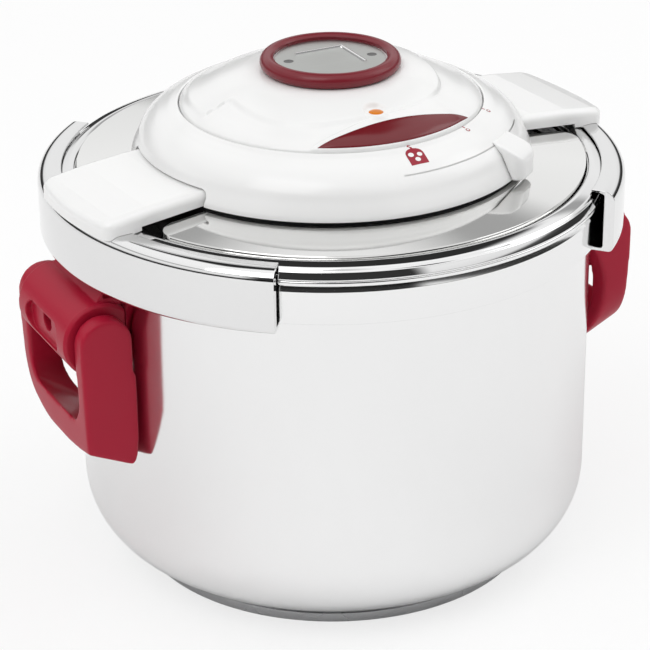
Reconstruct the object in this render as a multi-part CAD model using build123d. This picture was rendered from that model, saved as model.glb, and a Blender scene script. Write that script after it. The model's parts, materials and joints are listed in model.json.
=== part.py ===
from build123d import *
import math
import os

# A stainless steel pressure canner: a deep pot with folding bail handles, and a lid that two
# sliding jaws clamp to the pot rim.  Turning the centre knob turns a cam plate, and its two
# spiral slots drive the jaws in or out.  +Z is up, the base stands on z = 0, and the two pot
# handles lie on the X axis.  Lengths are in millimetres and angles in degrees.

# Pot
POT_R = 121.0           # outside radius of the wall
WALL = 1.2              # sheet thickness of pot and lid
CORNER_R = 35.0         # outside radius from wall to floor
FLOOR_Z = 5.5           # underside of the pot floor, on top of the sandwich base
BASE_R = 95.5
CAP_SHEET = 0.8
RIM_Z = 187.0           # sealing face of the rim
RIM_R = 128.2           # rolled bead
BEAD_H = 4.8
APRON_R = 127.0         # skirt that hangs from the bead, which the jaws hook under
APRON_Z = 166.5

# Lid
LID_R = 128.5
SEAT_GAP = 0.2          # bead of the lid above the bead of the pot
LID_FLOOR_Z = 186.4     # top of the sunk floor of the lid
SHOULDER_R = 121.0
SHOULDER_Z = 193.6
PANEL_IN_R = 91.2       # polished cover panels
PANEL_OUT_R = 117.8
PANEL_IN_Z = 197.0
PANEL_OUT_Z = 194.3
PANEL_SHEET = 1.0
PANEL_CORNER = 8.0
ARM_TURN = 4.3          # the lid mechanism is turned this far from the handles
CHANNEL_HALF = 33.8     # half width of the channel between the panels

# Jaws and arms
JAW_R = 136.0
JAW_SHEET = 1.5
JAW_SPAN = 100.8
JAW_TURN = 2.2          # middle of the jaws, measured from the handles
JAW_TOP_Z = 194.0
JAW_IN_R = 124.8
JAW_LIP_R = 122.8       # how far the lower lip reaches in under the apron
JAW_LOW_Z = 164.8
JAW_TRAVEL = 12.0       # outward travel over a quarter turn of the knob
SLIDE_HALF = 18.0
SLIDE_T = 2.0
SLIDE_IN = 14.0
SLIDE_OUT = 132.5
ARM_HALF = 32.5
ARM_IN = 66.0
ARM_R = 136.6
ARM_SKIN = 2.0

# Cam
PIN_R = 3.0
PIN_IN = 24.0           # cam pin's distance from the centre with the jaws closed
SLOT_GAP = 0.3
CAM_R = 46.0
CAM_Z = 196.3
CAM_T = 2.0
QUARTER = 90.0

# Covers
DOME_R = 92.5
DOME_Z = 198.8
COVER_SKIN = 2.2
SEAM_R = 69.5
COVER_SCREWS = (30, 150, 210, 330)
SCREW_PCD_R = 67.5
CHASSIS_R = 90.5
CHASSIS_TOP = 198.4

# Knob
POST_R = 5.0
RUN = 0.06              # radial running clearance
SHAFT_R = 8.5
RING_MAJOR = 28.8
RING_MINOR = 3.55
RING_Z = 240.45
PLATE_R = 25.3
PLATE_Z = 241.5
KNOB_SCREW_R = 19.5
KNOB_SCREW_AT = -14.0

# Selector and indicator
SELECTOR_AT = -52.0     # direction of the selector tab from the centre
TRACK_R = 84.5          # slot in the cover that its web runs in
INDICATOR_R = 51.0
INDICATOR_AT = -94.0
INDICATOR_TOP = 232.2

# Handles
PIVOT_X = 131.0
PIVOT_Z = 141.0
BARREL_X = 129.6        # the barrel is not concentric with the pins
BARREL_Z = 139.4
BARREL_R = 17.8
BARREL_HALF = 28.4
BLOCK_HALF = 25.5
BAIL_IN = 29.5          # inner faces of the bail's arms
BAIL_OUT = 38.5
BAIL_SLOPE = 25.0       # the grip bar falls toward the pot at this angle
HOLE_SLOPE = 34.0       # so does the floor of the loop's opening
KNUCKLE_R = 12.5
HANDLE_PIN_R = 4.0

LOW = (Align.CENTER, Align.CENTER, Align.MIN)


# ---- helpers ----

def section(points):
    """A closed outline of (radius, height) points in the XZ plane."""
    return Plane.XZ * make_face(Polyline(*points, close=True))


def turned(points, angle=360):
    """A solid of revolution about Z from (radius, height) points."""
    return revolve(section(points), Axis.Z, angle)


def disc(radius, low, high):
    return Pos(0, 0, low) * Cylinder(radius, high - low, align=LOW)


def tube(inner, outer, low, high):
    return disc(outer, low, high) - disc(inner, low - 1, high + 1)


def hexagon(across, low, high):
    outline = RegularPolygon(across / 2, 6, major_radius=False)
    return Pos(0, 0, low) * extrude(outline, high - low)


def box(x0, x1, y0, y1, z0, z1):
    middle = Pos((x0 + x1) / 2, (y0 + y1) / 2, (z0 + z1) / 2)
    return middle * Box(x1 - x0, y1 - y0, z1 - z0)


def at_polar(radius, angle, shape):
    return Rot(0, 0, angle) * Pos(radius, 0, 0) * shape


def along_x(radius, start, end, y=0, z=0):
    return Pos(start, y, z) * Rot(0, 90, 0) * Cylinder(radius, end - start, align=LOW)


def along_y(radius, start, end, x=0, z=0):
    return Pos(x, start, z) * Rot(-90, 0, 0) * Cylinder(radius, end - start, align=LOW)


def to_left(shape):
    """The right-hand shape turned half a turn to the left side."""
    return Rot(0, 0, 180) * shape


def save(name, shape):
    export_step(shape, f"parts/{name}.step")


# ---- pot ----

def pot_shell():
    inner = POT_R - WALL
    outline = section([
        (0, FLOOR_Z), (POT_R, FLOOR_Z), (POT_R, RIM_Z - 2.2), (APRON_R - WALL, RIM_Z - 2.2),
        (APRON_R - WALL, APRON_Z), (APRON_R, APRON_Z), (APRON_R, RIM_Z - BEAD_H - 0.6),
        (RIM_R, RIM_Z - BEAD_H), (RIM_R, RIM_Z), (inner, RIM_Z), (inner, FLOOR_Z + WALL),
        (0, FLOOR_Z + WALL)])
    corners = outline.vertices()

    def near(x, z):
        return corners.sort_by_distance((x, 0, z))[0]

    outline = fillet(near(POT_R, FLOOR_Z), CORNER_R)
    outline = fillet(outline.vertices().sort_by_distance((inner, 0, FLOOR_Z + WALL))[0],
                     CORNER_R - WALL)
    outline = fillet(outline.vertices().sort_by_distance((RIM_R, 0, RIM_Z))[0], 1.4)
    outline = fillet(outline.vertices().sort_by_distance((inner, 0, RIM_Z))[0], 0.9)
    return revolve(outline, Axis.Z)


def base_cap():
    return turned([(0, 0), (BASE_R, 0), (BASE_R, FLOOR_Z - 1.2), (BASE_R - CAP_SHEET, FLOOR_Z - 1.2),
                   (BASE_R - CAP_SHEET, CAP_SHEET), (0, CAP_SHEET)])


def base_core():
    return disc(BASE_R - CAP_SHEET - 0.1, CAP_SHEET, FLOOR_Z)


# ---- pot handles, right side ----

def weld_plate():
    """Plate spot-welded to the pot wall, with a threaded boss for the bracket screw."""
    skin = tube(POT_R, POT_R + 1.5, 127, 156)
    plate = skin & box(100, 130, -22, 22, 127, 156)
    boss = along_x(6, POT_R + 1.0, 129, z=PIVOT_Z)
    thread = along_x(2.1, POT_R + 2.0, 130, z=PIVOT_Z)
    return plate + boss - thread


def bracket():
    barrel = along_y(BARREL_R, -BARREL_HALF, BARREL_HALF, x=BARREL_X, z=BARREL_Z)
    barrel = chamfer(barrel.edges().filter_by(GeomType.CIRCLE), 1.2)
    side = Plane.XZ * make_face(Polyline(
        (112, 125), (BARREL_X, BARREL_Z - BARREL_R + 0.6), (BARREL_X + 2, BARREL_Z + BARREL_R - 1.5),
        (127, 161), (112, 162.6), close=True))
    block = extrude(side, BLOCK_HALF, both=True)
    block = block - box(112, 126.5, -33, 33, 158, 164) + box(112, 126.5, -21, 21, 157, 163.4)
    oval = Plane.YZ * (Pos(0, PIVOT_Z - 2) * SlotOverall(38, 14))
    recess = Pos(BARREL_X + BARREL_R - 3.4, 0, 0) * extrude(oval, 10)
    body = barrel + block - recess
    body -= disc(POT_R + 0.05, 100, 170)
    body -= tube(POT_R - 5, POT_R + 1.7, 126.5, 156.5) & box(100, 130, -22.4, 22.4, 126, 157)
    body -= along_x(6.2, POT_R, 129.2, z=PIVOT_Z)
    body -= along_x(2.7, 125, 150, z=PIVOT_Z)
    body -= along_x(4.8, 134, 150, z=PIVOT_Z)
    for side_sign in (-1, 1):
        low, high = sorted((side_sign * 13, side_sign * (BARREL_HALF + 1)))
        body -= along_y(HANDLE_PIN_R, low, high, x=PIVOT_X, z=PIVOT_Z)
    return body


def bracket_screw():
    return along_x(2.0, POT_R + 3, 134.2, z=PIVOT_Z) + along_x(4.5, 134.1, 137.4, z=PIVOT_Z)


def handle_pins():
    """Two stub pins, one pressed into each end of the barrel."""
    right = along_y(HANDLE_PIN_R, 13, BAIL_OUT - 3, x=PIVOT_X, z=PIVOT_Z)
    left = along_y(HANDLE_PIN_R, 3 - BAIL_OUT, -13, x=PIVOT_X, z=PIVOT_Z)
    return Compound([right, left])


def bail_side():
    """Side profile of the grip: a broad blade, hooked in toward the pot at its lower end."""
    left = PIVOT_X - KNUCKLE_R
    right = PIVOT_X + KNUCKLE_R
    return Plane.XZ * make_face([
        ThreePointArc((left, PIVOT_Z), (PIVOT_X, PIVOT_Z + KNUCKLE_R), (right, PIVOT_Z)),
        Spline((right, PIVOT_Z), (143.2, 126), (142.8, 108), (142.2, 87.5), tangents=((0, -1), (-0.05, -1))),
        ThreePointArc((142.2, 87.5), (141.5, 85.6), (139.6, 84.4)),
        Spline((139.6, 84.4), (132, 81.8), (127, 79.8), (122.4, 79.2), tangents=((-1, -0.3), (-1, 0))),
        Spline((122.4, 79.2), (118.9, 82), (117.7, 89), (117.4, 102), (117.8, 122), (left, PIVOT_Z),
               tangents=((-1, 0), (0, 1)))])


def slanted(outline, slope):
    """Cutter or blank through the grip, from outside toward the pot and down at a slope."""
    fall = math.tan(math.radians(slope))
    ahead = 7
    start = Pos(143 + ahead, 0, ahead * fall) * (Plane.YZ * outline)
    return extrude(start, 50, dir=(-1, 0, -fall))


def bail_front():
    """Outline seen from outside: one lower corner is square, the other is well rounded."""
    top = PIVOT_Z + KNUCKLE_R + 20
    return make_face([
        Polyline((BAIL_OUT, 90), (BAIL_OUT, top), (-BAIL_OUT, top), (-BAIL_OUT, 124)),
        Spline((-BAIL_OUT, 124), (-37.4, 109), (-32.5, 97.8), (-22.5, 90.2), (-9, 86.2), (6, 85.6),
               (22, 87.2), (BAIL_OUT, 90), tangents=((0, -1), (1, 0.2)))])


def bail_hole():
    top = PIVOT_Z + KNUCKLE_R + 40
    lower = ((28.4, 109), (25, 103.4), (15, 101.3))
    points = [(-BAIL_IN, 122)] + [(-y, z) for y, z in lower] + [(0, 101)]
    points += [(y, z) for y, z in reversed(lower)] + [(BAIL_IN, 122)]
    return make_face([
        Polyline((BAIL_IN, 122), (BAIL_IN, top), (-BAIL_IN, top), (-BAIL_IN, 122)),
        Spline(*points, tangents=((0, -1), (0, 1)))])


def bail():
    """U-shaped grip: its side profile crossed with its front outline."""
    grip = extrude(bail_side(), 60, both=True) & slanted(bail_front(), BAIL_SLOPE)
    grip -= slanted(bail_hole(), HOLE_SLOPE)
    hollow = Pos(81, 0, 112) * Rot(90, 0, 0) * Cone(32.5, 48, 2 * BAIL_OUT + 2)
    grip -= hollow
    grip -= disc(POT_R + 0.8, 60, 200)
    for side_sign in (-1, 1):
        low, high = sorted((side_sign * (BAIL_IN - 3), side_sign * (BAIL_OUT - 2.8)))
        grip -= along_y(HANDLE_PIN_R + RUN, low, high, x=PIVOT_X, z=PIVOT_Z)
    return grip


# ---- lid ----

def lid_shell():
    floor_low = LID_FLOOR_Z - WALL
    low = RIM_Z + SEAT_GAP
    shell = turned([
        (0, LID_FLOOR_Z), (116.4, LID_FLOOR_Z), (117.8, 187.6), (118.2, 189.4), (118.2, 192.2),
        (119.2, 193.2), (SHOULDER_R, SHOULDER_Z), (123.5, 192.9), (126.3, 191.3), (127.6, 190.8),
        (LID_R, 190.1), (LID_R, low + 0.6), (LID_R - 0.6, low), (126.9, low), (126.9, 189.6),
        (125.6, 190.3), (SHOULDER_R, 192.3), (119.9, 191.9), (119.4, 191.2), (119.4, 189.0),
        (118.9, 186.8), (117.2, floor_low), (0, floor_low)])
    for radius, angle, hole in valve_places():
        shell -= at_polar(radius, angle, disc(hole, 180, 190))
    return shell


def valve_places():
    """(distance, direction, hole radius) of what passes through the lid floor."""
    return ((INDICATOR_R, INDICATOR_AT, 4.0), (62, SELECTOR_AT, 5.1), (60, QUARTER, 5.1))


def seal_ring():
    low = RIM_Z + 0.05
    return turned([(120.0, low), (126.7, low), (126.7, 189.5), (125.5, 190.1), (SHOULDER_R, 192.1),
                   (120.1, 191.7), (119.7, 190.6), (123.4, 189.8), (123.4, 188.6), (120.0, 188.2)])


def centre_post():
    """Stud welded to the middle of the lid, which the knob turns on."""
    return disc(POST_R, LID_FLOOR_Z, 229.0) + disc(3.0, 228.9, 234.5)


def post_nut():
    nut = hexagon(10, 229.0, 233.5) + disc(6.4, 229.0, 230.0)
    return nut - disc(3.0, 228, 236)


def hub_nut():
    return hexagon(22, 188.1, 193.5) - disc(POST_R, 187, 195)


def chassis():
    """Moulded base under the covers: it guides the slides and carries the cover screws."""
    base = disc(CHASSIS_R - 1, LID_FLOOR_Z + 0.1, 188.1)
    wall = tube(CHASSIS_R - 2.5, CHASSIS_R, LID_FLOOR_Z + 0.1, CHASSIS_TOP)
    body = base + wall
    for sign in (-1, 1):
        low, high = sorted((sign * 30, sign * 87))
        body += box(low, high, -22, 22, 187, CAM_Z - 0.2)
    body -= box(-95, 95, -SLIDE_HALF - 0.2, SLIDE_HALF + 0.2, JAW_TOP_Z - 0.1, 200)
    body -= disc(POST_R + 0.1, 180, 200)
    for angle in COVER_SCREWS:
        body -= at_polar(SCREW_PCD_R, angle, disc(2.2, 180, 190))
        body -= at_polar(SCREW_PCD_R, angle, disc(4.2, 180, 187.6))
    body = Rot(0, 0, ARM_TURN) * body
    for radius, angle, hole in valve_places():
        body -= at_polar(radius, angle, disc(hole + 6, 180, 192))
    return body


def below_panels(clear):
    """Everything under the conical top of the panels, raised by a clearance."""
    slope = (PANEL_OUT_Z - PANEL_IN_Z) / (PANEL_OUT_R - PANEL_IN_R)
    centre_z = PANEL_IN_Z - slope * PANEL_IN_R
    edge_r = PANEL_OUT_R + 2.6
    return turned([(0, 180), (edge_r, 180), (edge_r, centre_z + slope * edge_r + clear),
                   (0, centre_z + clear)])


def panel_plan():
    ring = Circle(PANEL_OUT_R) - Circle(PANEL_IN_R)
    plan = ring - Pos(0, 200 + CHANNEL_HALF - 400) * Rectangle(400, 400)
    return plan


def panel():
    """Rear crescent panel, a pressed cap with turned-down edges."""
    plan = panel_plan()
    outer = plan.vertices().sort_by(lambda v: v.X ** 2 + v.Y ** 2)[-2:]
    plan = fillet(outer, PANEL_CORNER)
    low = LID_FLOOR_Z + 2.4
    block = Pos(0, 0, low) * extrude(plan, 20)
    inside = Pos(0, 0, low - 1) * extrude(offset(plan, amount=-PANEL_SHEET), 20)
    cap = block & below_panels(0)
    return cap - (inside & below_panels(-PANEL_SHEET))


# ---- covers ----

DOME_POINTS = ((DOME_R, DOME_Z), (DOME_R, 200.2), (89.7, 206), (88.0, 210), (83.5, 215.6), (77, 219.8),
               (70.6, 222.4))
CENTRE_POINTS = ((SEAM_R, 222.2), (SEAM_R - 0.6, 223.2), (60, 228), (50, 232.4), (40, 235.2),
                 (33, 236.0), (25, 235.6), (22.5, 235.0))


def dome_face():
    """Section of the outer cover, with a ledge inside its top edge for the centre cover."""
    skin = COVER_SKIN
    return section(list(DOME_POINTS) + [
        (70.6, 219.4), (62, 219.4), (62, 217.2), (72, 217.2), (81.5, 213.4), (85.6, 208.8),
        (87.3, 205.2), (DOME_R - skin, 199.8), (DOME_R - skin, DOME_Z)])


def top_cover():
    cover = revolve(dome_face(), Axis.Z)
    bosses = [at_polar(SCREW_PCD_R, angle, disc(4.4, 188.2, 217.4)) for angle in COVER_SCREWS]
    for boss in bosses:
        cover += boss
    for angle in COVER_SCREWS:
        cover -= at_polar(SCREW_PCD_R, angle, disc(1.6, 187, 200.2))
    mouth = extrude(Plane.YZ * (Pos(0, 200) * RectangleRounded(2 * ARM_HALF + 2.4, 12.6, 4)), 130)
    for turn in (0, 180):
        cover -= Rot(0, 0, turn) * mouth
    cover = Rot(0, 0, ARM_TURN) * cover
    return cover - selector_track()


def selector_track():
    """Narrow curved slot in the outer cover that the selector's web runs in."""
    ring = tube(TRACK_R - 0.8, TRACK_R + 0.8, 206, 220)
    return ring & sector(130, SELECTOR_AT - 42, SELECTOR_AT + 18)


def sector(radius, start, end):
    """Wedge from one direction to another about Z, tall enough for the whole lid."""
    steps = 8
    step = (end - start) / steps
    rim = [(radius * math.cos(math.radians(start + i * step)),
            radius * math.sin(math.radians(start + i * step))) for i in range(steps + 1)]
    return Pos(0, 0, 150) * extrude(make_face(Polyline((0, 0), *rim, close=True)), 120)


def centre_face(lift=0.0, depth=2.0):
    upper = [(r, z + lift) for r, z in CENTRE_POINTS]
    lower = [(r, z - depth) for r, z in reversed(CENTRE_POINTS)]
    return section(upper + lower)


def inlay_plan(grow=0.0):
    """Lens between the round seam and a nearly straight edge across the centre cover."""
    reach = SEAM_R - 1.2 + grow
    start, middle, end = (math.radians(a) for a in (-125 - 3 * grow, -90, -55 + 3 * grow))
    tips = [(reach * math.cos(a), reach * math.sin(a)) for a in (start, end)]
    outer = ThreePointArc(tips[0], (reach * math.cos(middle), reach * math.sin(middle)), tips[1])
    inner = Spline(tips[1], (18, grow - 57.4), (-10, grow - 58.6), tips[0])
    return make_face([outer, inner])


def centre_cover():
    cover = revolve(centre_face(), Axis.Z)
    pocket = Pos(0, 0, 200) * extrude(inlay_plan(0.2), 60)
    cover -= pocket & revolve(centre_face(lift=3, depth=1.2), Axis.Z)
    return cover - at_polar(INDICATOR_R, INDICATOR_AT, disc(3.6, 200, 250))


def accent_inlay():
    lens = Pos(0, 0, 200) * extrude(inlay_plan(), 60)
    return lens & revolve(centre_face(lift=0.2, depth=1.1), Axis.Z)


def cover_screws():
    screw = disc(1.6, 186.8, 200) + disc(3.8, LID_FLOOR_Z + 0.2, 187.5)
    placed = [at_polar(SCREW_PCD_R, angle + ARM_TURN, screw) for angle in COVER_SCREWS]
    return Compound(placed)


# ---- knob and cam ----

def spiral_slot(start):
    """Slot that moves a pin outward by the jaw travel while the plate turns a quarter turn."""
    steps = 18
    overrun = 3.0
    half = PIN_R + SLOT_GAP
    total = QUARTER + 2 * overrun
    rate = JAW_TRAVEL / QUARTER
    cutters = []
    for i in range(steps + 1):
        along = -overrun + total * i / steps
        spot = at_polar(PIN_IN + rate * along, start - along, disc(half, CAM_Z - 1, CAM_Z + CAM_T + 1))
        cutters.append(spot)
    walls = []
    for side in (-half, half):
        points = []
        for i in range(steps + 1):
            along = -overrun + total * i / steps
            reach = PIN_IN + rate * along + side
            angle = math.radians(start - along)
            points.append((reach * math.cos(angle), reach * math.sin(angle)))
        walls.append(points)
    inner = Spline(*walls[0])
    outer = Spline(*walls[1])
    ends = (Line(walls[0][0], walls[1][0]), Line(walls[0][-1], walls[1][-1]))
    lane = Pos(0, 0, CAM_Z - 1) * extrude(make_face([inner, outer, *ends]), CAM_T + 2)
    return lane + cutters[0] + cutters[-1]


def cam_plate():
    plate = disc(CAM_R, CAM_Z, CAM_Z + CAM_T) - disc(SHAFT_R, CAM_Z - 1, CAM_Z + CAM_T + 1)
    for start in (ARM_TURN, ARM_TURN + 180):
        plate -= spiral_slot(start)
    return plate


def knob_shaft():
    shaft = disc(SHAFT_R, CAM_Z - 1.6, 236.5) + disc(12, CAM_Z + CAM_T, CAM_Z + CAM_T + 1.5)
    shaft -= disc(POST_R + RUN, 190, 240)
    return shaft - disc(7.0, 228.9, 240)


def knob_neck():
    """Moulded cup that joins the shaft to the grip ring."""
    cup = turned([(SHAFT_R, 229), (20.5, 229), (21, 236.0), (25.0, 238.4), (27.0, 239.2), (26.3, 241.0),
                  (PLATE_R + 0.1, 241.0), (PLATE_R + 0.1, 239.6), (11, 239.6), (11, 236.6),
                  (SHAFT_R, 236.6)])
    for side in (0, 180):
        cup -= at_polar(KNOB_SCREW_R, KNOB_SCREW_AT + side, disc(1.3, 231.5, 250))
    return cup


def knob_ring():
    grip = Pos(0, 0, RING_Z) * Torus(RING_MAJOR, RING_MINOR)
    seat = turned([(0, 235), (25.0, 238.3), (27.1, 239.1), (26.4, 241.1), (26.0, 243.2), (0, 246)])
    return grip - seat


def knob_plate():
    plate = disc(PLATE_R, 239.7, PLATE_Z)
    for side in (0, 180):
        plate -= at_polar(KNOB_SCREW_R, KNOB_SCREW_AT + side, disc(1.3, 230, 250))
        plate -= at_polar(KNOB_SCREW_R, KNOB_SCREW_AT + side, disc(2.3, PLATE_Z - 0.9, 250))
    return plate


def knob_screws():
    screw = disc(1.3, 232, PLATE_Z - 0.8) + disc(2.2, PLATE_Z - 0.8, PLATE_Z - 0.1)
    placed = [at_polar(KNOB_SCREW_R, KNOB_SCREW_AT + side, screw) for side in (0, 180)]
    return Compound(placed)


# ---- jaws and arms, right side ----

def jaw_section(grow=0.0):
    """Hooked channel section: top plate, rounded outer face and a lip under the pot's apron."""
    t = JAW_SHEET + grow
    outer = Plane.XZ * make_face(Polyline(
        (JAW_IN_R, JAW_TOP_Z + grow), (JAW_R + grow, JAW_TOP_Z + grow), (JAW_R + grow, JAW_LOW_Z),
        (JAW_LIP_R, JAW_LOW_Z), (JAW_LIP_R, JAW_LOW_Z + t), (JAW_R - JAW_SHEET, JAW_LOW_Z + t),
        (JAW_R - JAW_SHEET, JAW_TOP_Z - JAW_SHEET), (JAW_IN_R, JAW_TOP_Z - JAW_SHEET), close=True))
    bends = ((JAW_R + grow, JAW_TOP_Z + grow, 5.5), (JAW_R - JAW_SHEET, JAW_TOP_Z - JAW_SHEET, 4.0),
             (JAW_R + grow, JAW_LOW_Z, 3.0), (JAW_R - JAW_SHEET, JAW_LOW_Z + t, 1.5))
    for x, z, radius in bends:
        corner = outer.vertices().sort_by_distance((x, 0, z))[0]
        outer = fillet(corner, radius)
    return outer


def jaw():
    ring = revolve(jaw_section(), Axis.Z, JAW_SPAN)
    return Rot(0, 0, JAW_TURN - JAW_SPAN / 2) * ring


def rivet_places():
    return ((129.0, -11.0), (129.0, 11.0))


def slide():
    """Flat steel bar from the cam pin out to the jaw, to which it is riveted."""
    top = JAW_TOP_Z + SLIDE_T
    bar = box(SLIDE_IN, SLIDE_OUT, -SLIDE_HALF, SLIDE_HALF, JAW_TOP_Z, top)
    corners = bar.edges().filter_by(Axis.Z).sort_by(Axis.X)
    bar = fillet(corners[-2:], 6)
    bar -= Pos(0, 0, JAW_TOP_Z - 1) * extrude(SlotOverall(2 * (SLIDE_IN + 6), 14), 4)
    bar -= Pos(PIN_IN, 0, 0) * disc(PIN_R, 190, 200)
    for x, y in rivet_places():
        bar -= Pos(x, y, 0) * disc(2.0, 190, 200)
    return Rot(0, 0, ARM_TURN) * bar


def cam_pin():
    pin = disc(PIN_R, JAW_TOP_Z, CAM_Z + CAM_T + 0.4)
    return at_polar(PIN_IN, ARM_TURN, pin)


def rivets():
    rivet = disc(2.0, JAW_TOP_Z - JAW_SHEET, 197.2) + disc(3.6, JAW_TOP_Z + SLIDE_T, 197.2)
    placed = [Rot(0, 0, ARM_TURN) * Pos(x, y, 0) * rivet for x, y in rivet_places()]
    return Compound(placed)


def drilled_jaw():
    part = jaw()
    for x, y in rivet_places():
        part -= Rot(0, 0, ARM_TURN) * Pos(x, y, 0) * disc(2.0, 185, 200)
    return part


def arm_plan(shrink=0.0):
    bar = Pos((ARM_IN + 150) / 2, 0) * Rectangle(150 - ARM_IN, 2 * (ARM_HALF - shrink))
    plan = bar & Circle(ARM_R - shrink)
    outer = plan.vertices().sort_by(Axis.X)[-2:]
    return fillet(outer, 6 - shrink)


def arm_side(drop=0.0):
    """Side outline of the arm, which falls gently outward."""
    return Plane.XZ * make_face(Polyline(
        (ARM_IN - 1, 188), (ARM_IN - 1, 205.4 - drop), (92, 204.9 - drop), (112, 203.2 - drop),
        (128, 201.0 - drop), (134, 199.6 - drop), (137, 198.6 - drop), (137, 188), close=True))


def arm_cover():
    outer = Pos(0, 0, 188) * extrude(arm_plan(), 30) & extrude(arm_side(), 60, both=True)
    outer -= below_panels(1.9)
    crest = outer.edges().filter_by(lambda e: e.center().Z > 199 and e.length > 8)
    outer = fillet([e for e in crest if e.center().X > ARM_IN + 1], 3.5)
    inner = Pos(0, 0, 180) * extrude(arm_plan(ARM_SKIN), 40) & extrude(arm_side(ARM_SKIN), 60, both=True)
    inner = inner + box(ARM_IN - 2, 100, -SLIDE_HALF - 8, SLIDE_HALF + 8, 190, 202)
    arm = outer - inner
    jaw_space = Rot(0, 0, JAW_TURN - JAW_SPAN / 2) * revolve(jaw_section(0.1), Axis.Z, JAW_SPAN)
    lid_space = turned([(0, 180), (LID_R + 0.5, 180), (LID_R + 0.5, 191.2), (126.8, 192.1),
                        (124.0, 193.6), (SHOULDER_R, 194.1), (0, 194.1)])
    arm = Rot(0, 0, ARM_TURN) * arm
    arm = arm - jaw_space - lid_space
    return arm - box(100, 150, -60, 60, 180, JAW_TOP_Z - JAW_SHEET)


# ---- selector ----

def selector_tab():
    """Outer tab that is pushed round the cover's edge, with its web through the slot."""
    plan = Pos(88.2, 0) * RectangleRounded(19.6, 17.6, 5)
    side = Plane.XZ * make_face([
        Polyline((70, 199.2), (99, 199.2), (98.4, 206.5)),
        Spline((98.4, 206.5), (96.2, 210.4), (90.5, 213.6), (84, 216.0), (70, 218.4)),
        Line((70, 218.4), (70, 199.2))])
    body = Pos(0, 0, 190) * extrude(plan, 40) & extrude(side, 30, both=True)
    clear = turned([(0, 190), (93.0, 190), (93.0, 200.4), (90.2, 206.1), (88.5, 210.1), (84.0, 215.4),
                    (78.5, 219.6), (0, 230)])
    body -= clear
    web = tube(TRACK_R - 0.5, TRACK_R + 0.5, 203.0, 215.4) & sector(130, -5, 5)
    return Rot(0, 0, SELECTOR_AT) * (body + web)


def selector_band():
    """Inner carrier that rides inside the outer cover."""
    ring = tube(TRACK_R - 2.6, TRACK_R - 0.5, 200.5, 208.6)
    return ring & sector(130, SELECTOR_AT - 9, SELECTOR_AT + 9)


# ---- valves and indicator ----

def indicator_pin():
    pin = disc(2.2, 178.5, INDICATOR_TOP - 6) + disc(3.2, INDICATOR_TOP - 6.2, INDICATOR_TOP)
    pin += disc(4.6, 178.5, 179.6)
    return at_polar(INDICATOR_R, INDICATOR_AT, pin)


def indicator_seal():
    seal = tube(2.2, 4.4, 179.6, 181.4)
    return at_polar(INDICATOR_R, INDICATOR_AT, seal)


def indicator_bush():
    bush = disc(4.0, 184.6, LID_FLOOR_Z) + disc(7.0, LID_FLOOR_Z, 187.8) + disc(4.0, 187.8, 196)
    return at_polar(INDICATOR_R, INDICATOR_AT, bush - disc(2.2 + RUN, 180, 200))


def valve_body():
    body = disc(5.1, 179, LID_FLOOR_Z) + disc(8.2, LID_FLOOR_Z, 189) + disc(7.2, 189, 203)
    body -= disc(2.0, 170, 190)
    body -= disc(5.2, 189, 201.8)
    return body - disc(2.0, 200, 205)


def valve_nut():
    return hexagon(15, 181.0, LID_FLOOR_Z - WALL) - disc(5.1, 170, 190)


def valve_plunger():
    """Ball-nosed plunger that closes the vent until the spring gives."""
    return disc(4.9, 189.6, 192.0) + disc(1.7, 191.9, 205.5) + turned([(0, 188.2), (1.6, 189.7), (0, 189.7)])


def valve_spring():
    coil = Helix(pitch=1.8, height=9.0, radius=3.4, center=(0, 0, 192.35))
    wire = Plane(coil @ 0, z_dir=coil % 0) * Circle(0.32)
    return sweep(wire, coil)


# ---- assembly ----

def write_pot():
    save("pot_shell", pot_shell())
    save("base_cap", base_cap())
    save("base_core", base_core())
    screw = bracket_screw()
    save("bracket_screws", Compound([screw, to_left(screw)]))
    for name, make in (("weld_plate", weld_plate), ("handle_bracket", bracket),
                       ("handle_pins", handle_pins), ("handle_bail", bail)):
        shape = make()
        save("right_" + name, shape)
        save("left_" + name, to_left(shape))


def write_lid():
    save("lid_shell", lid_shell())
    save("seal_ring", seal_ring())
    save("centre_post", centre_post())
    save("post_nut", post_nut())
    save("hub_nut", hub_nut())
    save("chassis", chassis())
    rear = panel()
    save("rear_panel", Rot(0, 0, ARM_TURN) * rear)
    save("front_panel", Rot(0, 0, ARM_TURN + 180) * rear)
    save("top_cover", top_cover())
    save("centre_cover", centre_cover())
    save("accent_inlay", accent_inlay())
    save("cover_screws", cover_screws())


def write_knob():
    for name, make in (("knob_shaft", knob_shaft), ("cam_plate", cam_plate), ("knob_neck", knob_neck),
                       ("knob_ring", knob_ring), ("knob_plate", knob_plate),
                       ("knob_screws", knob_screws)):
        save(name, make())


def write_jaws():
    for name, make in (("jaw", drilled_jaw), ("slide", slide), ("cam_pin", cam_pin),
                       ("rivets", rivets), ("arm_cover", arm_cover)):
        shape = make()
        save("right_" + name, shape)
        save("left_" + name, to_left(shape))


def write_controls():
    save("selector_tab", selector_tab())
    save("selector_band", selector_band())
    save("indicator_pin", indicator_pin())
    save("indicator_seal", indicator_seal())
    save("indicator_bush", indicator_bush())
    for name, radius, angle in (("operating", 62, SELECTOR_AT), ("safety", 60, QUARTER)):
        save(name + "_valve_body", at_polar(radius, angle, valve_body()))
        save(name + "_valve_nut", at_polar(radius, angle, valve_nut()))
        save(name + "_valve_plunger", at_polar(radius, angle, valve_plunger()))
        save(name + "_valve_spring", at_polar(radius, angle, valve_spring()))


os.makedirs("parts", exist_ok=True)
write_pot()
write_lid()
write_knob()
write_jaws()
write_controls()
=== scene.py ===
import json
import math

import bmesh
import bpy
from mathutils import Matrix, Vector

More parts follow.
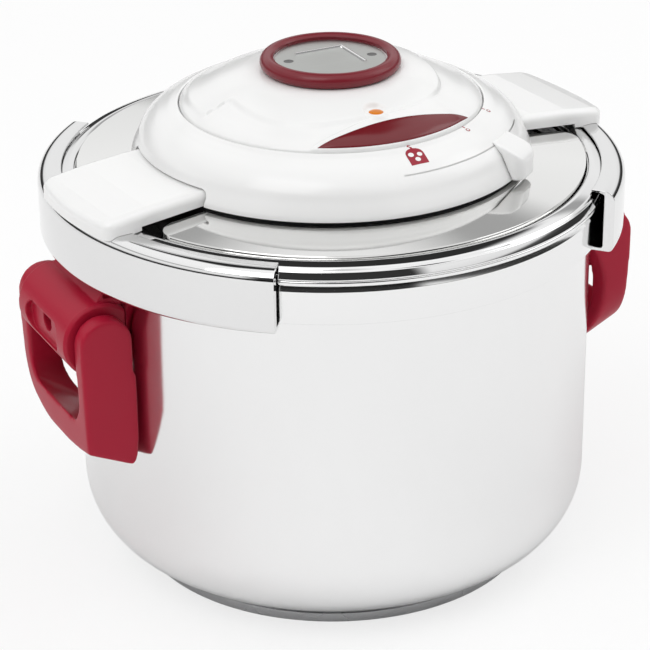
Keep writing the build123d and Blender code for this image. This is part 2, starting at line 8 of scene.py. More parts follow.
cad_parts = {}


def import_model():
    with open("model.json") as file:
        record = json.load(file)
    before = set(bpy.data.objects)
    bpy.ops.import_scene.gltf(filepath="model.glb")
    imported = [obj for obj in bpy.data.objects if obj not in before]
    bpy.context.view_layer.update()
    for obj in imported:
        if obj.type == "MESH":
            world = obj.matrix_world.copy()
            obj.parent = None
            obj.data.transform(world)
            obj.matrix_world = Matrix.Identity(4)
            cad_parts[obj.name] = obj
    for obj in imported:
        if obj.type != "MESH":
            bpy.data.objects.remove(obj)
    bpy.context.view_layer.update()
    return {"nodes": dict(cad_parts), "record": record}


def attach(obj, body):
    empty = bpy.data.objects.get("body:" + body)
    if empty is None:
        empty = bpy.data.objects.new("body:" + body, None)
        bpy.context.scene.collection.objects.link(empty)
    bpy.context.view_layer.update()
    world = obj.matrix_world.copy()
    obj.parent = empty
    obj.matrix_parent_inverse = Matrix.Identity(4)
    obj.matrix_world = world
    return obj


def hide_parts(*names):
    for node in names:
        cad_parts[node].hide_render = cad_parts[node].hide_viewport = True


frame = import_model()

NODES = frame["nodes"]
MM = 0.001                      # the shapes below are written in millimetres

# Driving sizes, in millimetres and degrees, as in the CAD model
SEAM_R = 69.5                   # round seam between the centre cover and the outer cover
KNOB_HOLE_R = 22.5              # hole of the centre cover
INSERT_OUT_R = 68.9             # outer edge of the coloured insert
BUTTON_R = 3.3
ARM_MOUTH_HALF = 33.9           # half the opening for an arm in the outer cover
SCALE_R = 70.4                  # inner end of the scale marks
TAG_R = 71.6
TAG_AT = -88.2
ARM_TURN = 4.3
LATHE_STEPS = 240               # facets round a full turn
JAW_SPAN = 100.8
JAW_TURN = 2.2
PLATE_Z = 241.5
CHEVRON_HALF = 11.9


# ---- camera and studio ----

def make_camera():
    """The photograph's viewpoint: in front, 27 degrees to the left and 25 degrees up."""
    heading = math.radians(-26.81)
    tilt = math.radians(90 - 25.26)
    roll = -0.0101
    data = bpy.data.cameras.new("camera")
    data.lens = 140.9
    data.sensor_width = 36
    camera = bpy.data.objects.new("camera", data)
    turn = Matrix.Rotation(heading, 4, "Z") @ Matrix.Rotation(tilt, 4, "X") @ Matrix.Rotation(roll, 4, "Z")
    camera.matrix_world = Matrix.Translation((-0.5001, -0.9815, 0.6265)) @ turn
    bpy.context.scene.collection.objects.link(camera)
    bpy.context.scene.camera = camera


def area_light(name, place, target, size, power):
    data = bpy.data.lights.new(name, "AREA")
    data.shape = "SQUARE"
    data.size = size
    data.energy = power
    light = bpy.data.objects.new(name, data)
    light.location = place
    light.rotation_euler = (Vector(target) - Vector(place)).to_track_quat("-Z", "Y").to_euler()
    bpy.context.scene.collection.objects.link(light)


# ---- node helpers ----

def add(tree, kind, **values):
    node = tree.nodes.new(kind)
    for key, value in values.items():
        if key in node.inputs:
            node.inputs[key].default_value = value
        else:
            setattr(node, key, value)
    return node


def shader_base(name):
    material = bpy.data.materials.new(name)
    material.use_nodes = True
    tree = material.node_tree
    return material, tree, tree.nodes["Principled BSDF"]


def coordinates(tree, scale):
    """Object coordinates stretched by a scale for each axis."""
    source = add(tree, "ShaderNodeTexCoord")
    mapping = add(tree, "ShaderNodeMapping")
    mapping.inputs["Scale"].default_value = scale
    tree.links.new(source.outputs["Object"], mapping.inputs["Vector"])
    return mapping.outputs["Vector"]


def radial_coordinates(tree, along, across):
    """(distance from Z times across, height times across, angle times along), for turned finishes."""
    source = add(tree, "ShaderNodeTexCoord")
    split = add(tree, "ShaderNodeSeparateXYZ")
    tree.links.new(source.outputs["Object"], split.inputs[0])
    flat = add(tree, "ShaderNodeCombineXYZ")
    tree.links.new(split.outputs["X"], flat.inputs["X"])
    tree.links.new(split.outputs["Y"], flat.inputs["Y"])
    length = add(tree, "ShaderNodeVectorMath", operation="LENGTH")
    tree.links.new(flat.outputs[0], length.inputs[0])
    angle = add(tree, "ShaderNodeMath", operation="ARCTAN2")
    tree.links.new(split.outputs["Y"], angle.inputs[0])
    tree.links.new(split.outputs["X"], angle.inputs[1])
    joined = add(tree, "ShaderNodeCombineXYZ")
    for output, scale, slot in ((length.outputs["Value"], across, "X"), (split.outputs["Z"], across, "Y"),
                                (angle.outputs[0], along, "Z")):
        times = add(tree, "ShaderNodeMath", operation="MULTIPLY")
        times.inputs[1].default_value = scale
        tree.links.new(output, times.inputs[0])
        tree.links.new(times.outputs[0], joined.inputs[slot])
    return joined.outputs[0]


def noise(tree, vector, scale, detail=3.0):
    texture = add(tree, "ShaderNodeTexNoise", Scale=scale, Detail=detail)
    tree.links.new(vector, texture.inputs["Vector"])
    return texture.outputs["Fac"]


def ramp(tree, value, low, high, dark, light):
    """Maps a pattern from one range of values to another."""
    node = add(tree, "ShaderNodeMapRange")
    node.inputs["From Min"].default_value = low
    node.inputs["From Max"].default_value = high
    node.inputs["To Min"].default_value = dark
    node.inputs["To Max"].default_value = light
    tree.links.new(value, node.inputs["Value"])
    return node.outputs["Result"]


def colour_mix(tree, value, first, second):
    node = add(tree, "ShaderNodeMix", data_type="RGBA")
    node.inputs["A"].default_value = (*first, 1)
    node.inputs["B"].default_value = (*second, 1)
    tree.links.new(value, node.inputs["Factor"])
    return node.outputs["Result"]


def bump(tree, shader, height, strength, distance):
    node = add(tree, "ShaderNodeBump", Strength=strength, Distance=distance)
    tree.links.new(height, node.inputs["Height"])
    tree.links.new(node.outputs[0], shader.inputs["Normal"])


def smooth_range(tree, value, low, high, first, last):
    node = add(tree, "ShaderNodeMapRange", interpolation_type="SMOOTHSTEP")
    for label, number in (("From Min", low), ("From Max", high), ("To Min", first), ("To Max", last)):
        node.inputs[label].default_value = number
    tree.links.new(value, node.inputs["Value"])
    return node.outputs["Result"]


def multiply(tree, a, b):
    node = add(tree, "ShaderNodeMath", operation="MULTIPLY")
    tree.links.new(a, node.inputs[0])
    tree.links.new(b, node.inputs[1])
    return node.outputs[0]


def ramp_stops(node, stops):
    """Grey levels of a colour ramp, by position."""
    ramp_data = node.color_ramp
    while len(ramp_data.elements) < len(stops):
        ramp_data.elements.new(0.5)
    for element, (position, level) in zip(ramp_data.elements, stops):
        element.position = position
        element.color = (level, level, level, 1)


# ---- materials ----

def metal(name, colour, rough, spread, turned=True, grain=900.0, relief=0.02, anisotropic=0.0):
    """Polished or brushed sheet: fine scratches that run round Z, or along X when not turned."""
    material, tree, shader = shader_base(name)
    shader.inputs["Metallic"].default_value = 1.0
    shader.inputs["Anisotropic"].default_value = anisotropic
    vector = radial_coordinates(tree, 1.6, 1.0) if turned else coordinates(tree, (0.03, 1.0, 1.0))
    lines = noise(tree, vector, grain, 4.0)
    cloud = noise(tree, coordinates(tree, (1, 1, 1)), 14.0)
    tree.links.new(ramp(tree, cloud, 0.3, 0.7, rough - spread, rough + spread), shader.inputs["Roughness"])
    darker = tuple(c * 0.93 for c in colour)
    tree.links.new(colour_mix(tree, lines, darker, colour), shader.inputs["Base Color"])
    bump(tree, shader, lines, relief, 0.0002)
    return material


def plastic(name, colour, rough, coat=0.0, texture=0.05, tint=0.92, specular=0.35):
    """Moulded plastic: a slightly uneven colour and a fine moulded texture."""
    material, tree, shader = shader_base(name)
    shader.inputs["Coat Weight"].default_value = coat
    shader.inputs["Specular IOR Level"].default_value = specular
    shader.inputs["Coat Roughness"].default_value = 0.06
    vector = coordinates(tree, (1, 1, 1))
    cloud = noise(tree, vector, 22.0)
    darker = tuple(c * tint for c in colour)
    tree.links.new(colour_mix(tree, cloud, darker, colour), shader.inputs["Base Color"])
    tree.links.new(ramp(tree, cloud, 0.25, 0.75, rough * 0.85, rough * 1.15), shader.inputs["Roughness"])
    bump(tree, shader, noise(tree, vector, 1400.0, 2.0), texture, 0.0001)
    return material


MATERIALS = {
    "pot_steel": metal("pot_steel", (0.88, 0.88, 0.88), 0.10, 0.015, relief=0.01, anisotropic=0.4),
    "chrome": metal("chrome", (0.82, 0.82, 0.82), 0.04, 0.012, relief=0.006),
    "panel_steel": metal("panel_steel", (0.84, 0.84, 0.83), 0.05, 0.012, relief=0.006),
    "base_steel": metal("base_steel", (0.60, 0.60, 0.61), 0.28, 0.05, grain=500.0, relief=0.1),
    "core_aluminium": metal("core_aluminium", (0.5, 0.5, 0.51), 0.4, 0.05, grain=500.0, relief=0.1),
    "plain_steel": metal("plain_steel", (0.62, 0.62, 0.62), 0.25, 0.05, turned=False, relief=0.05),
    "screw_steel": metal("screw_steel", (0.20, 0.20, 0.20), 0.35, 0.05, turned=False, relief=0.05),
    "spring_wire": metal("spring_wire", (0.5, 0.5, 0.5), 0.22, 0.03, turned=False),
    "turned_brass": metal("turned_brass", (0.78, 0.58, 0.26), 0.22, 0.04, grain=600.0, relief=0.05),
    "burgundy": plastic("burgundy", (0.42, 0.009, 0.034), 0.38, specular=0.22),
    "white": plastic("white", (0.93, 0.93, 0.925), 0.24, coat=0.25, tint=0.985, texture=0.03),
    "black": plastic("black", (0.012, 0.012, 0.013), 0.4),
    "orange": plastic("orange", (0.75, 0.22, 0.01), 0.3),
    "plate_grey": metal("plate_grey", (0.60, 0.61, 0.59), 0.30, 0.05, turned=False, relief=0.05),
    "ring_red": plastic("ring_red", (0.20, 0.012, 0.022), 0.30, coat=0.1),
    "lens_red": plastic("lens_red", (0.17, 0.008, 0.014), 0.22, coat=0.3),
    "jaw_chrome": metal("jaw_chrome", (0.80, 0.80, 0.80), 0.06, 0.015, relief=0.006),
    "print_red": plastic("print_red", (0.36, 0.02, 0.04), 0.35),
    "silicone": plastic("silicone", (0.28, 0.28, 0.29), 0.6, texture=0.15),
}

SLOT_MATERIAL = {
    "polished_steel": "pot_steel", "chrome": "chrome", "brushed_panel": "panel_steel",
    "base_steel": "base_steel", "aluminium_core": "core_aluminium", "zinc_steel": "plain_steel",
    "spring_steel": "spring_wire", "brass": "turned_brass", "burgundy_plastic": "burgundy",
    "white_plastic": "white", "black_plastic": "black", "orange_plastic": "orange",
    "silver_plate": "plate_grey", "silicone": "silicone",
}


def dress(node, material):
    NODES[node].data.materials.clear()
    NODES[node].data.materials.append(MATERIALS[material])


def dress_cad_nodes():
    """Every carried-over CAD node gets the material of its slot."""
    for entry in frame["record"]["subparts"]:
        dress(entry["node"], SLOT_MATERIAL[entry["material_slot"]])
    dress("knob_ring", "ring_red")
    dress("knob_screws", "screw_steel")


# ---- mesh helpers ----

def finished(name, mesh, material, body, nodes=(), sharp=40):
    """Puts a mesh in the scene as a piece that rides on a body and stands for CAD nodes."""
    mesh.materials.clear()
    mesh.materials.append(MATERIALS[material])
    mesh.shade_smooth()
    mesh.set_sharp_from_angle(angle=math.radians(sharp))
    piece = bpy.data.objects.new(name, mesh)
    bpy.context.scene.collection.objects.link(piece)
    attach(piece, body)
    if nodes:
        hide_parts(*nodes)
    return piece


def mesh_of(name, points, faces):
    """A mesh from points in millimetres."""
    mesh = bpy.data.meshes.new(name)
    mesh.from_pydata([(x * MM, y * MM, z * MM) for x, y, z in points], [], faces)
    form = bmesh.new()
    form.from_mesh(mesh)
    bmesh.ops.remove_doubles(form, verts=form.verts, dist=0.00001)
    bmesh.ops.recalc_face_normals(form, faces=form.faces)
    form.to_mesh(mesh)
    form.free()
    return mesh


def rounded(corners):
    """Closed outline of (r, z, radius) corners, each turned into an arc of that radius."""
    outline = []
    count = len(corners)
    for i, (r, z, radius) in enumerate(corners):
        here = Vector((r, z))
        before = (Vector(corners[i - 1][:2]) - here)
        after = (Vector(corners[(i + 1) % count][:2]) - here)
        if radius <= 0 or before.length < 1e-6 or after.length < 1e-6:
            outline.append((r, z))
            continue
        half = before.angle(after) / 2
        reach = min(radius / math.tan(half), before.length * 0.49, after.length * 0.49)
        radius = reach * math.tan(half)
        centre = here + (before.normalized() + after.normalized()).normalized() * (radius / math.sin(half))
        first = here + before.normalized() * reach - centre
        last = here + after.normalized() * reach - centre
        begin = math.atan2(first.y, first.x)
        sweep = math.remainder(math.atan2(last.y, last.x) - begin, math.tau)
        steps = max(3, min(24, int(abs(sweep) * (3 + radius))))
        for k in range(steps + 1):
            angle = begin + sweep * k / steps
            outline.append((centre.x + radius * math.cos(angle), centre.y + radius * math.sin(angle)))
    return outline


def turned(name, outline, start=0.0, end=360.0, steps=LATHE_STEPS):
    """Sweeps an outline of (r, z) about Z; a part turn gets flat ends."""
    whole = end - start >= 360
    rings = steps if whole else steps + 1
    count = len(outline)
    points = []
    for i in range(rings):
        angle = math.radians(start + (end - start) * i / steps)
        points += [(r * math.cos(angle), r * math.sin(angle), z) for r, z in outline]
    faces = []
    for i in range(steps):
        ahead = (i + 1) % rings
        for k in range(count):
            after = (k + 1) % count
            faces.append((i * count + k, ahead * count + k, ahead * count + after, i * count + after))
    if not whole:
        faces.append(tuple(range(count)))
        faces.append(tuple(reversed(range((rings - 1) * count, rings * count))))
    return mesh_of(name, points, faces)


def softened(node, piece_name, material, body, voxel, passes):
    """A moulded form of a CAD node: remeshed finely and smoothed, which rounds its edges."""
    mesh = NODES[node].data.copy()
    form = bmesh.new()
    form.from_mesh(mesh)
    bmesh.ops.remove_doubles(form, verts=form.verts, dist=0.00002)
    form.to_mesh(mesh)
    form.free()
    draft = bpy.data.objects.new("draft", mesh)
    bpy.context.scene.collection.objects.link(draft)
    remesh = draft.modifiers.new("remesh", "REMESH")
    remesh.mode = "VOXEL"
    remesh.voxel_size = voxel * MM
    smooth = draft.modifiers.new("smooth", "SMOOTH")
    smooth.factor = 0.5
    smooth.iterations = passes
    graph = bpy.context.evaluated_depsgraph_get()
    result = bpy.data.meshes.new_from_object(draft.evaluated_get(graph))
    result.name = piece_name
    bpy.data.objects.remove(draft)
    return finished(piece_name, result, material, body, (node,), sharp=80)


def between(table, x):
    """Smooth curve through a table of (x, value) pairs in rising order."""
    last = len(table) - 1
    for i in range(last):
        (x0, v0), (x1, v1) = table[i], table[i + 1]
        if x <= x1 or i == last - 1:
            break
    t = min(max((x - x0) / (x1 - x0), 0.0), 1.0)

    def slope(k):
        if k == 0 or k == last:
            k0, k1 = max(k - 1, 0), min(k + 1, last)
            return (table[k1][1] - table[k0][1]) / (table[k1][0] - table[k0][0])
        left = (table[k][1] - table[k - 1][1]) / (table[k][0] - table[k - 1][0])
        right = (table[k + 1][1] - table[k][1]) / (table[k + 1][0] - table[k][0])
        return 0.0 if left * right <= 0 else 2 * left * right / (left + right)

    span = x1 - x0
    a, b = slope(i) * span, slope(i + 1) * span
    return (v0 * (2 * t ** 3 - 3 * t * t + 1) + a * (t ** 3 - 2 * t * t + t)
            + v1 * (3 * t * t - 2 * t ** 3) + b * (t ** 3 - t * t))


def ease(x):
    """Smooth step from 0 to 1."""
    x = min(max(x, 0.0), 1.0)
    return x * x * (3 - 2 * x)


# ---- pot and lid ----

def make_pot():
    outline = rounded([
        (0, 5.5, 0), (121, 5.5, 35), (121, 184.8, 0.4), (125.6, 184.8, 0.4), (125.6, 166.5, 0.4),
        (127.2, 166.5, 0.6), (127.2, 181.6, 0.8), (126.1, 184.3, 0.3), (128.2, 184.7, 0.8),
        (128.2, 187, 1.0), (119.8, 187, 0.9),
        (119.8, 6.7, 33.8), (0, 6.7, 0)])
    finished("pot_body", turned("pot_body", outline), "pot_steel", "pot", ("pot_shell",))


def make_lid():
    outline = rounded([
        (0, 186.4, 0), (116.4, 186.4, 1), (117.8, 187.6, 1), (118.2, 189.4, 1), (118.2, 192.2, 0.8),
        (119.2, 193.2, 1), (121, 193.6, 3), (125.6, 192.4, 1.5), (126.4, 191.2, 0.6), (127.2, 190.9, 0.5),
        (128.45, 187.9, 0.6), (128.45, 187.2, 0.3), (127.6, 187.2, 0.2), (126.9, 187.2, 0.2),
        (126.9, 189.6, 0.5), (125.6, 190.3, 1), (121, 192.3, 1), (119.9, 191.9, 0.5), (119.4, 191.2, 0.3),
        (119.4, 189, 0.3), (118.9, 186.8, 0.3), (117.2, 185.2, 0.5), (0, 185.2, 0)])
    finished("lid_pan", turned("lid_pan", outline), "chrome", "lid", ("lid_shell",))


def make_jaws():
    """Clamping jaws: a pressed channel, hemmed to twice its thickness on the outside."""
    section = rounded([
        (124.8, 194, 0.4), (136, 194, 5.5), (136, 164.8, 2.6), (122.8, 164.8, 0.5), (122.8, 166.3, 0.3),
        (131.0, 166.3, 1.2), (131.0, 192.2, 2.0), (128.6, 192.9, 0.4), (124.8, 193.2, 0.2)])
    half = JAW_SPAN / 2
    for side, middle in (("right", JAW_TURN), ("left", JAW_TURN + 180)):
        name = side + "_clamp_jaw"
        mesh = turned(name, section, middle - half, middle + half, steps=110)
        piece = finished(name, mesh, "jaw_chrome", side + "_clamp", (side + "_jaw",), sharp=35)
        edge = piece.modifiers.new("rounded_ends", "BEVEL")
        edge.width = 0.45 * MM
        edge.segments = 3
        edge.limit_method = "ANGLE"
        edge.angle_limit = math.radians(50)


# ---- centre cover ----

# Heights of the centre cover and, below, of the outer cover: (distance from the axis, z)
COVER_PROFILE = ((22.5, 235.0), (25, 235.6), (33, 236.0), (40, 235.2), (50, 232.4), (60, 228.0),
                 (68.9, 223.2), (69.5, 222.2))
# The raised plateau round the knob is a rounded square, set off the axis and wider at the back
PLATEAU_AT = Vector((-4.0, -4.0))
PLATEAU_HALF = 48.5
PLATEAU_POWER = 2.5             # 2 is a circle, and more is squarer
BACK_SWELL = 13.0
# The ridge beside the insert is straight, and goes over into an arc round the axis
RIDGE_R = 53.0
RIDGE_BEND_AT = -85.0
# The insert's inner edge is a straight line this far from the axis, and faces this way
INSERT_IN = 57.3
INSERT_FACING = -88.0
INSERT_HALF_ANGLE = math.degrees(math.acos(INSERT_IN / 69.0))
# The level pad that holds the pressure button
BUTTON_AT = 51.0 * Vector((math.cos(math.radians(-94)), math.sin(math.radians(-94))))
BUTTON_Z = 232.5


def plateau_inside(spot, azimuth):
    """How far inside the plateau's edge a place is."""
    across = [abs(a) ** PLATEAU_POWER for a in spot - PLATEAU_AT]
    size = sum(across) ** (1 / PLATEAU_POWER)
    back = ease((azimuth - 50) / 90) if azimuth > 0 else 1 - ease((azimuth + 177.5) / 1.9)
    return PLATEAU_HALF + BACK_SWELL * back - size


def ridge_crest(azimuth):
    return RIDGE_R / math.cos(math.radians(min(azimuth - RIDGE_BEND_AT, 0)))


def insert_edge(azimuth):
    return INSERT_IN / math.cos(math.radians(azimuth - INSERT_FACING))


def cover_height(r, azimuth):
    spot = r * Vector((math.cos(math.radians(azimuth)), math.sin(math.radians(azimuth))))
    z = between(COVER_PROFILE, r)
    firm = ease((azimuth + 75) / 30) * (1 - ease((azimuth - 10) / 40))
    width = 2.6 - 1.9 * firm
    fade = 1 - 0.6 * ease((azimuth - 10) / 60) * (1 - ease((azimuth - 120) / 40))
    z += (1.1 + 0.9 * firm) * fade * ease(plateau_inside(spot, azimuth) / width + 0.5)
    presence = ease((azimuth + 134) / 14) * (1 - ease((azimuth + 62) / 16))
    if presence > 0:
        z += 1.1 * presence * ease((r - ridge_crest(azimuth)) / 1.6 + 0.5)
    near = ease((5.3 - (spot - BUTTON_AT).length) / 1.6 + 0.5)
    return z + (BUTTON_Z - z) * near


def in_lens(r, azimuth):
    if abs(azimuth - INSERT_FACING) > INSERT_HALF_ANGLE:
        return False
    return insert_edge(azimuth) + 0.8 < r < INSERT_OUT_R


def make_lens():
    """Coloured insert, slightly crowned, between the ridge and the round seam."""
    around = 150
    rows = 16
    start = INSERT_FACING - INSERT_HALF_ANGLE
    points = []
    for i in range(around + 1):
        azimuth = start + 2 * INSERT_HALF_ANGLE * i / around
        angle = math.radians(azimuth)
        inner = min(insert_edge(azimuth), 68.95)
        for k in range(rows + 3):
            across = min(max((k - 1) / rows, 0), 1)
            r = inner + (69.0 - inner) * across
            crown = 0.5 * min(1.0, (69.0 - inner) / 4) * math.sqrt(max(0.0, 4 * across * (1 - across)))
            drop = 1.4 if k in (0, rows + 2) else 0.0
            z = cover_height(r, azimuth) + 0.12 + crown - drop
            points.append((r * math.cos(angle), r * math.sin(angle), z))
    count = rows + 3
    faces = []
    for i in range(around):
        for k in range(count):
            after = (k + 1) % count
            faces.append((i * count + k, (i + 1) * count + k, (i + 1) * count + after, i * count + after))
    mesh = mesh_of("lens_insert", points, faces)
    finished("lens_insert", mesh, "lens_red", "lid", ("accent_inlay",), sharp=55)


def make_centre_cover():
    around = 540
    levels = [KNOB_HOLE_R + i * 0.45 for i in range(103)] + [INSERT_OUT_R, 69.2, SEAM_R]
    points = []
    for i in range(around):
        azimuth = -184 + 360 * i / around
        angle = math.radians(azimuth)
        for r in levels:
            sunk = 1.2 if in_lens(r, azimuth) else 0.0
            points.append((r * math.cos(angle), r * math.sin(angle), cover_height(r, azimuth) - sunk))
        points.append((SEAM_R * math.cos(angle), SEAM_R * math.sin(angle), 220.6))
        points.append((KNOB_HOLE_R * math.cos(angle), KNOB_HOLE_R * math.sin(angle), 233.4))
    count = len(levels) + 2
    faces = []
    for i in range(around):
        ahead = (i + 1) % around
        for k in range(count):
            after = (k + 1) % count
            faces.append((i * count + k, i * count + after, ahead * count + after, ahead * count + k))
    mesh = mesh_of("centre_cap", points, faces)
    finished("centre_cap", mesh, "white", "lid", ("centre_cover",), sharp=50)


DOME_PROFILE = ((70.6, 222.4), (74, 221.3), (77, 219.8), (80.5, 217.9), (83.5, 215.6), (86, 213), (88, 210),
                (89.3, 206.9), (91, 203.4), (92.1, 200.9))


def dome_height(r):
    return between(DOME_PROFILE, r)


def cut(piece_mesh, cutters):
    """Subtracts the cutter meshes from a mesh."""
    body = bpy.data.objects.new("draft", piece_mesh)
    bpy.context.scene.collection.objects.link(body)
    spare = [body]
    for cutter_mesh in cutters:
        cutter = bpy.data.objects.new("cutter", cutter_mesh)
        bpy.context.scene.collection.objects.link(cutter)
        spare.append(cutter)
        step = body.modifiers.new("cut", "BOOLEAN")
        step.operation = "DIFFERENCE"
        step.object = cutter
        step.solver = "EXACT"
    graph = bpy.context.evaluated_depsgraph_get()
    result = bpy.data.meshes.new_from_object(body.evaluated_get(graph))
    for piece in spare:
        bpy.data.objects.remove(piece)
    return result


def mouth_cutter(turn):
    """Round-cornered bar that opens the outer cover for one arm."""
    half, low, high, radius = ARM_MOUTH_HALF, 190.0, 206.0, 4.0
    ring = [(-half, low), (half, low)]
    for centre, start in ((half - radius, 0), (-half + radius, 90)):
        for k in range(9):
            angle = math.radians(start + 90 * k / 8)
            ring.append((centre + radius * math.cos(angle), high - radius + radius * math.sin(angle)))
    c, s = math.cos(math.radians(turn)), math.sin(math.radians(turn))
    points = [(x * c - y * s, x * s + y * c, z) for x in (40, 130) for y, z in ring]
    count = len(ring)
    faces = [(k, (k + 1) % count, count + (k + 1) % count, count + k) for k in range(count)]
    faces += [tuple(range(count)), tuple(reversed(range(count, 2 * count)))]
    return mesh_of("mouth_cutter", points, faces)


def make_top_cover():
    rim_r, top_r, steps = 92.1, 70.9, 60
    outer = []
    for i in range(steps + 1):
        r = rim_r + (top_r - rim_r) * i / steps
        outer.append((r, dome_height(r)))
    outline = [(92.4, 198.8), (92.5, 199.3)] + outer + [
        (70.3, 222.1), (70.2, 221.6), (70.2, 219.4), (62, 219.4), (62, 217.2), (72, 217.2), (81.5, 213.0),
        (85.6, 208.4), (87.3, 204.8), (90.3, 199.8), (90.3, 198.8)]
    groove = [(84.2, 210), (84.75, 210), (84.75, 220), (84.2, 220)]
    track = turned("track_cutter", groove, -95, -34, steps=60)
    mesh = cut(turned("outer_cap", outline), [mouth_cutter(ARM_TURN), mouth_cutter(ARM_TURN + 180), track])
    finished("outer_cap", mesh, "white", "lid", ("top_cover",), sharp=38)


# ---- indicator ----

def make_indicator():
    """Orange button of the pressure indicator, low-crowned on its pad."""
    around = 32
    points = []
    rings = ((0.0, 0.50), (1.2, 0.48), (2.2, 0.40), (2.9, 0.26), (BUTTON_R, 0.0), (3.2, -12))
    for reach, lift in rings:
        for k in range(around):
            angle = math.tau * k / around
            spot = BUTTON_AT + reach * Vector((math.cos(angle), math.sin(angle)))
            points.append((spot.x, spot.y, BUTTON_Z + lift))
    faces = []
    for i in range(len(rings) - 1):
        for k in range(around):
            after = (k + 1) % around
            faces.append((i * around + k, i * around + after, (i + 1) * around + after, (i + 1) * around + k))
    faces.append(tuple(range((len(rings) - 1) * around, len(rings) * around)))
    finished("indicator_button", mesh_of("indicator_button", points, faces), "orange", "indicator",
             ("indicator_pin",), sharp=50)


# ---- printed marks ----

def printed(name, outline, material, lift=0.06):
    """Thin printed patch that follows the outer cover; the outline is in plan, in millimetres."""
    mesh = bpy.data.meshes.new(name)
    form = bmesh.new()
    corners = [form.verts.new((x, y, 0)) for x, y in outline]
    form.faces.new(corners)
    bmesh.ops.triangulate(form, faces=form.faces)
    bmesh.ops.subdivide_edges(form, edges=form.edges, cuts=3, use_grid_fill=True)
    for vert in form.verts:
        r = math.hypot(vert.co.x, vert.co.y)
        vert.co.z = dome_height(r) + lift
        vert.co *= MM
    bmesh.ops.recalc_face_normals(form, faces=form.faces)
    form.to_mesh(mesh)
    form.free()
    return finished(name, mesh, material, "lid")


def placed(outline, azimuth, r):
    """Turns an outline whose +y points outward to a place on the cover."""
    turn = Matrix.Rotation(math.radians(azimuth - 90), 2)
    shift = turn @ Vector((0, r))
    return [tuple(turn @ Vector(p) + shift) for p in outline]


def oval(x, y, a, b, steps=20):
    return [(x + a * math.cos(math.tau * k / steps), y + b * math.sin(math.tau * k / steps))
            for k in range(steps)]


def make_marks():
    # A cooking tag: a rounded label with a hook, and three pale puffs on it.
    label = [(-4.2, 9.6), (4.6, 9.6)] + [(0.2 + 4.4 * math.cos(a), 4.6 - 3.4 * math.sin(a))
                                        for a in (math.radians(15 * k) for k in range(13))]
    printed("tag_label", placed(label, TAG_AT, TAG_R), "print_red")
    hook = [(-0.5, 1.6), (0.6, 1.6), (0.6, 0.2), (1.4, -0.4), (1.2, -1.3), (0.2, -1.6), (-0.6, -1.0),
            (-0.1, -0.8), (0.4, -1.0), (0.8, -0.7), (-0.4, 0.2)]
    printed("tag_hook", placed(hook, TAG_AT, TAG_R + 0.2), "print_red")
    for index, (x, y, size) in enumerate(((-1.9, 5.0, 1.25), (2.2, 4.6, 1.35), (0.2, 7.3, 1.3))):
        printed(f"tag_puff_{index}", placed(oval(x, y, size, size * 0.8), TAG_AT, TAG_R), "white", lift=0.12)
    for index, azimuth in enumerate((-61.0, -40.5)):
        bar = [(-0.35, 0), (0.35, 0), (0.35, 1.5), (-0.35, 1.5)]
        printed(f"scale_bar_{index}", placed(bar, azimuth, SCALE_R), "print_red")
        ring = oval(0, 3.1, 1.15, 1.0)
        hole = oval(0, 3.1, 0.7, 0.55)
        printed(f"scale_ring_{index}", placed(ring, azimuth, SCALE_R), "print_red")
        printed(f"scale_eye_{index}", placed(hole, azimuth, SCALE_R), "white", lift=0.12)


# ---- knob details ----

def make_chevron():
    """Raised angled rib on the knob's plate."""
    path = (Vector((-CHEVRON_HALF, CHEVRON_HALF)), Vector((CHEVRON_HALF, CHEVRON_HALF)),
            Vector((CHEVRON_HALF, -CHEVRON_HALF)))
    points = []
    faces = []
    for a, b in zip(path, path[1:]):
        along = (b - a).normalized()
        across = Vector((-along.y, along.x))
        base = len(points)
        for spot in (a, b):
            for width, height in ((-1.0, -0.05), (-0.7, 0.5), (0, 0.7), (0.7, 0.5), (1.0, -0.05)):
                p = spot + across * width
                points.append((p.x, p.y, PLATE_Z + height))
        for k in range(4):
            faces.append((base + k, base + k + 1, base + 6 + k, base + 5 + k))
        faces.append(tuple(base + k for k in range(5)))
        faces.append(tuple(base + 9 - k for k in range(5)))
    finished("knob_chevron", mesh_of("knob_chevron", points, faces), "chrome", "knob")


def floor():
    mesh = bpy.data.meshes.new("floor")
    half = 6.0
    mesh.from_pydata([(-half, -half, 0), (half, -half, 0), (half, half, 0), (-half, half, 0)], [],
                     [(0, 1, 2, 3)])
    piece = bpy.data.objects.new("floor", mesh)
    bpy.context.scene.collection.objects.link(piece)
    material, tree, shader = shader_base("floor_paper")
    paper = noise(tree, coordinates(tree, (1, 1, 1)), 30.0)
    tint = colour_mix(tree, paper, (0.93, 0.93, 0.93), (0.95, 0.95, 0.95))
    tree.links.new(tint, shader.inputs["Base Color"])
    shader.inputs["Roughness"].default_value = 0.8
    shader.inputs["Specular IOR Level"].default_value = 0.0
    seen = add(tree, "ShaderNodeLightPath")
    glow = add(tree, "ShaderNodeEmission", Color=(1, 1, 1, 1), Strength=1.0)
    blend = add(tree, "ShaderNodeMixShader")
    backdrop = add(tree, "ShaderNodeMath", operation="MULTIPLY")
    backdrop.inputs[1].default_value = 0.72
    tree.links.new(seen.outputs["Is Camera Ray"], backdrop.inputs[0])
    tree.links.new(backdrop.outputs[0], blend.inputs[0])
    tree.links.new(shader.outputs[0], blend.inputs[1])
    tree.links.new(glow.outputs[0], blend.inputs[2])
    tree.links.new(blend.outputs[0], tree.nodes["Material Output"].inputs["Surface"])
    mesh.materials.append(material)


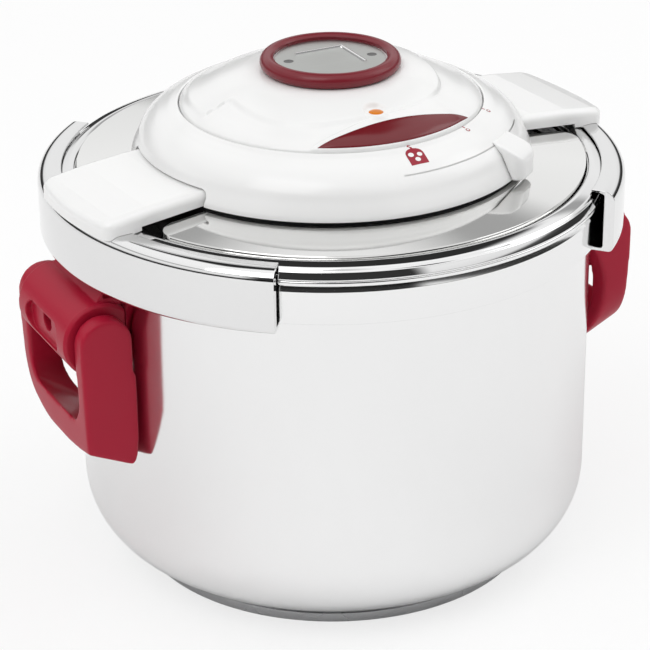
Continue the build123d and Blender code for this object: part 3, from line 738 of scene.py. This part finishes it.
def world():
    """White studio with a dark card in front and another high at the back, which the bright rim mirrors."""
    scene_world = bpy.data.worlds.new("studio")
    bpy.context.scene.world = scene_world
    scene_world.use_nodes = True
    tree = scene_world.node_tree
    source = add(tree, "ShaderNodeTexCoord")
    split = add(tree, "ShaderNodeSeparateXYZ")
    tree.links.new(source.outputs["Generated"], split.inputs[0])
    belt = add(tree, "ShaderNodeValToRGB")
    stops = ((0.0, 0.04), (0.10, 0.04), (0.17, 0.10), (0.22, 0.85), (0.36, 0.95), (0.46, 0.9), (0.50, 0.40),
             (0.54, 0.40), (0.58, 1.0), (1.0, 1.1))
    ramp_stops(belt, stops)
    tree.links.new(split.outputs["Z"], belt.inputs["Fac"])
    facing = add(tree, "ShaderNodeVectorMath", operation="DOT_PRODUCT")
    facing.inputs[1].default_value = (-0.40, -0.87, 0.28)
    tree.links.new(source.outputs["Generated"], facing.inputs[0])
    patch = smooth_range(tree, facing.outputs["Value"], 0.80, 0.88, 1.0, 0.04)
    side = add(tree, "ShaderNodeVectorMath", operation="DOT_PRODUCT")
    side.inputs[1].default_value = (0.8925, -0.451, 0)
    tree.links.new(source.outputs["Generated"], side.inputs[0])
    width = add(tree, "ShaderNodeMath", operation="ABSOLUTE")
    tree.links.new(side.outputs["Value"], width.inputs[0])
    strip = smooth_range(tree, width.outputs[0], 0.22, 0.32, 1.0, 0.0)
    onward = add(tree, "ShaderNodeVectorMath", operation="DOT_PRODUCT")
    onward.inputs[1].default_value = (0.385, 0.762, 0.52)
    tree.links.new(source.outputs["Generated"], onward.inputs[0])
    reach = smooth_range(tree, onward.outputs["Value"], 0.30, 0.42, 0.0, 1.0)
    high = smooth_range(tree, split.outputs["Z"], 0.56, 0.64, 0.0, 1.0)
    below = smooth_range(tree, split.outputs["Z"], 0.90, 0.95, 1.0, 0.0)
    shade = multiply(tree, multiply(tree, strip, reach), multiply(tree, high, below))
    gap = smooth_range(tree, shade, 0.0, 1.0, 1.0, 0.03)
    both = multiply(tree, patch, gap)
    dark = add(tree, "ShaderNodeMix", data_type="RGBA", blend_type="MULTIPLY")
    dark.inputs["Factor"].default_value = 1.0
    tree.links.new(belt.outputs["Color"], dark.inputs["A"])
    tree.links.new(both, dark.inputs["B"])
    seen = add(tree, "ShaderNodeLightPath")
    final = add(tree, "ShaderNodeMix", data_type="RGBA")
    final.inputs["B"].default_value = (1, 1, 1, 1)
    tree.links.new(seen.outputs["Is Camera Ray"], final.inputs["Factor"])
    tree.links.new(dark.outputs["Result"], final.inputs["A"])
    background = tree.nodes["Background"]
    tree.links.new(final.outputs["Result"], background.inputs["Color"])
    background.inputs["Strength"].default_value = 1.05


make_camera()
world()
floor()
dress_cad_nodes()
make_pot()
make_lid()
make_jaws()
make_centre_cover()
make_top_cover()
make_indicator()
make_lens()
make_marks()
make_chevron()
for side in ("left", "right"):
    softened(side + "_handle_bail", side + "_grip", "burgundy", side + "_handle", 0.8, 24)
    softened(side + "_handle_bracket", side + "_mount", "burgundy", "pot", 0.4, 1)
softened("selector_tab", "selector_grip", "white", "selector", 0.5, 18)
area_light("key", (-1.6, -1.0, 2.4), (0, 0, 0.1), 1.8, 20)
area_light("fill", (2.0, -0.6, 1.6), (0, 0, 0.1), 1.4, 8)
bpy.context.scene.view_settings.view_transform = "Standard"
